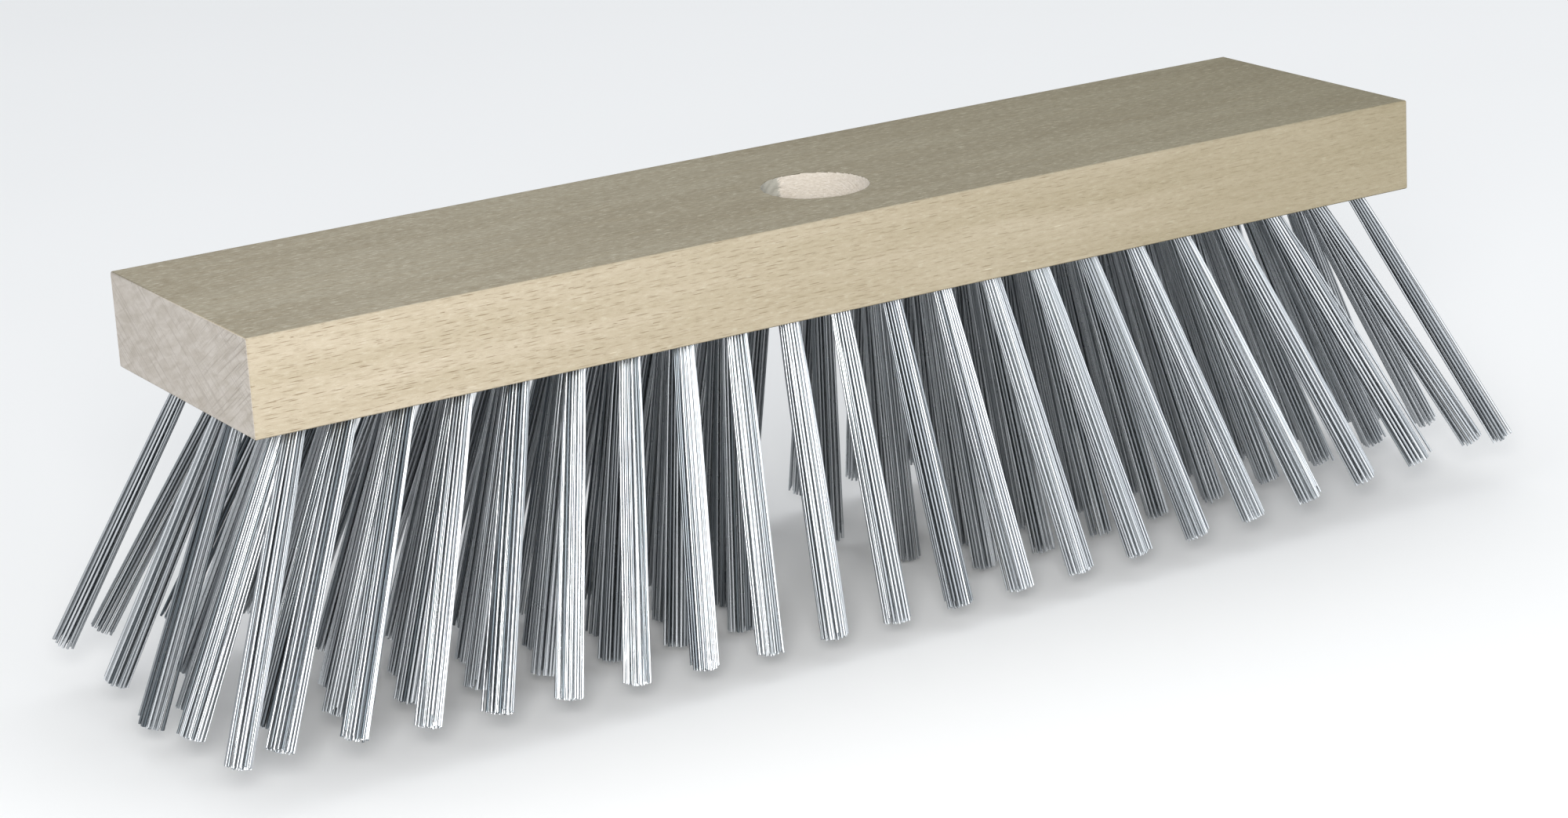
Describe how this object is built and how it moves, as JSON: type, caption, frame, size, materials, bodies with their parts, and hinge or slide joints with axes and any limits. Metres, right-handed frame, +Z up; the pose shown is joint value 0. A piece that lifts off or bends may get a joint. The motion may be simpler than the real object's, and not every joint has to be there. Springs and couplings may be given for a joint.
{
  "type": "wire broom head",
  "caption": "Beech broom head with fanned rows of steel-wire tufts held by flat anchors, and a tilted through hole for a round handle.",
  "frame": {"origin": "middle of the footprint, at the height of the lowest wire tips, on which the head stands", "axes": "+X along the block, +Y to the back, +Z up through the block; the handle leans towards -Y, the front"},
  "size_m": [0.3406, 0.1014, 0.0966],
  "materials": {
    "block": "raw sawn and planed beech",
    "wire_tufts": "bright drawn wire",
    "anchors": "flat rolled wire"
  },
  "bodies": {
    "root": {"block": "block", "row_1_tufts_01": "wire_tufts", "row_1_tufts_02": "wire_tufts", "row_1_tufts_03": "wire_tufts", "row_1_tufts_04": "wire_tufts", "row_1_tufts_05": "wire_tufts", "row_1_tufts_06": "wire_tufts", "row_1_tufts_07": "wire_tufts", "row_1_tufts_08": "wire_tufts", "row_1_tufts_09": "wire_tufts", "row_1_tufts_10": "wire_tufts", "row_1_tufts_11": "wire_tufts", "row_2_tufts_01": "wire_tufts", "row_2_tufts_02": "wire_tufts", "row_2_tufts_03": "wire_tufts", "row_2_tufts_04": "wire_tufts", "row_2_tufts_05": "wire_tufts", "row_2_tufts_07": "wire_tufts", "row_2_tufts_08": "wire_tufts", "row_2_tufts_09": "wire_tufts", "row_2_tufts_10": "wire_tufts", "row_2_tufts_11": "wire_tufts", "row_3_tufts_01": "wire_tufts", "row_3_tufts_02": "wire_tufts", "row_3_tufts_03": "wire_tufts", "row_3_tufts_04": "wire_tufts", "row_3_tufts_05": "wire_tufts", "row_3_tufts_07": "wire_tufts", "row_3_tufts_08": "wire_tufts", "row_3_tufts_09": "wire_tufts", "row_3_tufts_10": "wire_tufts", "row_3_tufts_11": "wire_tufts", "row_4_tufts_01": "wire_tufts", "row_4_tufts_02": "wire_tufts", "row_4_tufts_03": "wire_tufts", "row_4_tufts_04": "wire_tufts", "row_4_tufts_05": "wire_tufts", "row_4_tufts_06": "wire_tufts", "row_4_tufts_07": "wire_tufts", "row_4_tufts_08": "wire_tufts", "row_4_tufts_09": "wire_tufts", "row_4_tufts_10": "wire_tufts", "row_4_tufts_11": "wire_tufts", "row_5_tufts_01": "wire_tufts", "row_5_tufts_02": "wire_tufts", "row_5_tufts_03": "wire_tufts", "row_5_tufts_04": "wire_tufts", "row_5_tufts_05": "wire_tufts", "row_5_tufts_06": "wire_tufts", "row_5_tufts_07": "wire_tufts", "row_5_tufts_08": "wire_tufts", "row_5_tufts_09": "wire_tufts", "row_5_tufts_10": "wire_tufts", "row_5_tufts_11": "wire_tufts", "anchors_row_1": "anchors", "anchors_row_2": "anchors", "anchors_row_3": "anchors", "anchors_row_4": "anchors", "anchors_row_5": "anchors"}
  },
  "joints": []
}
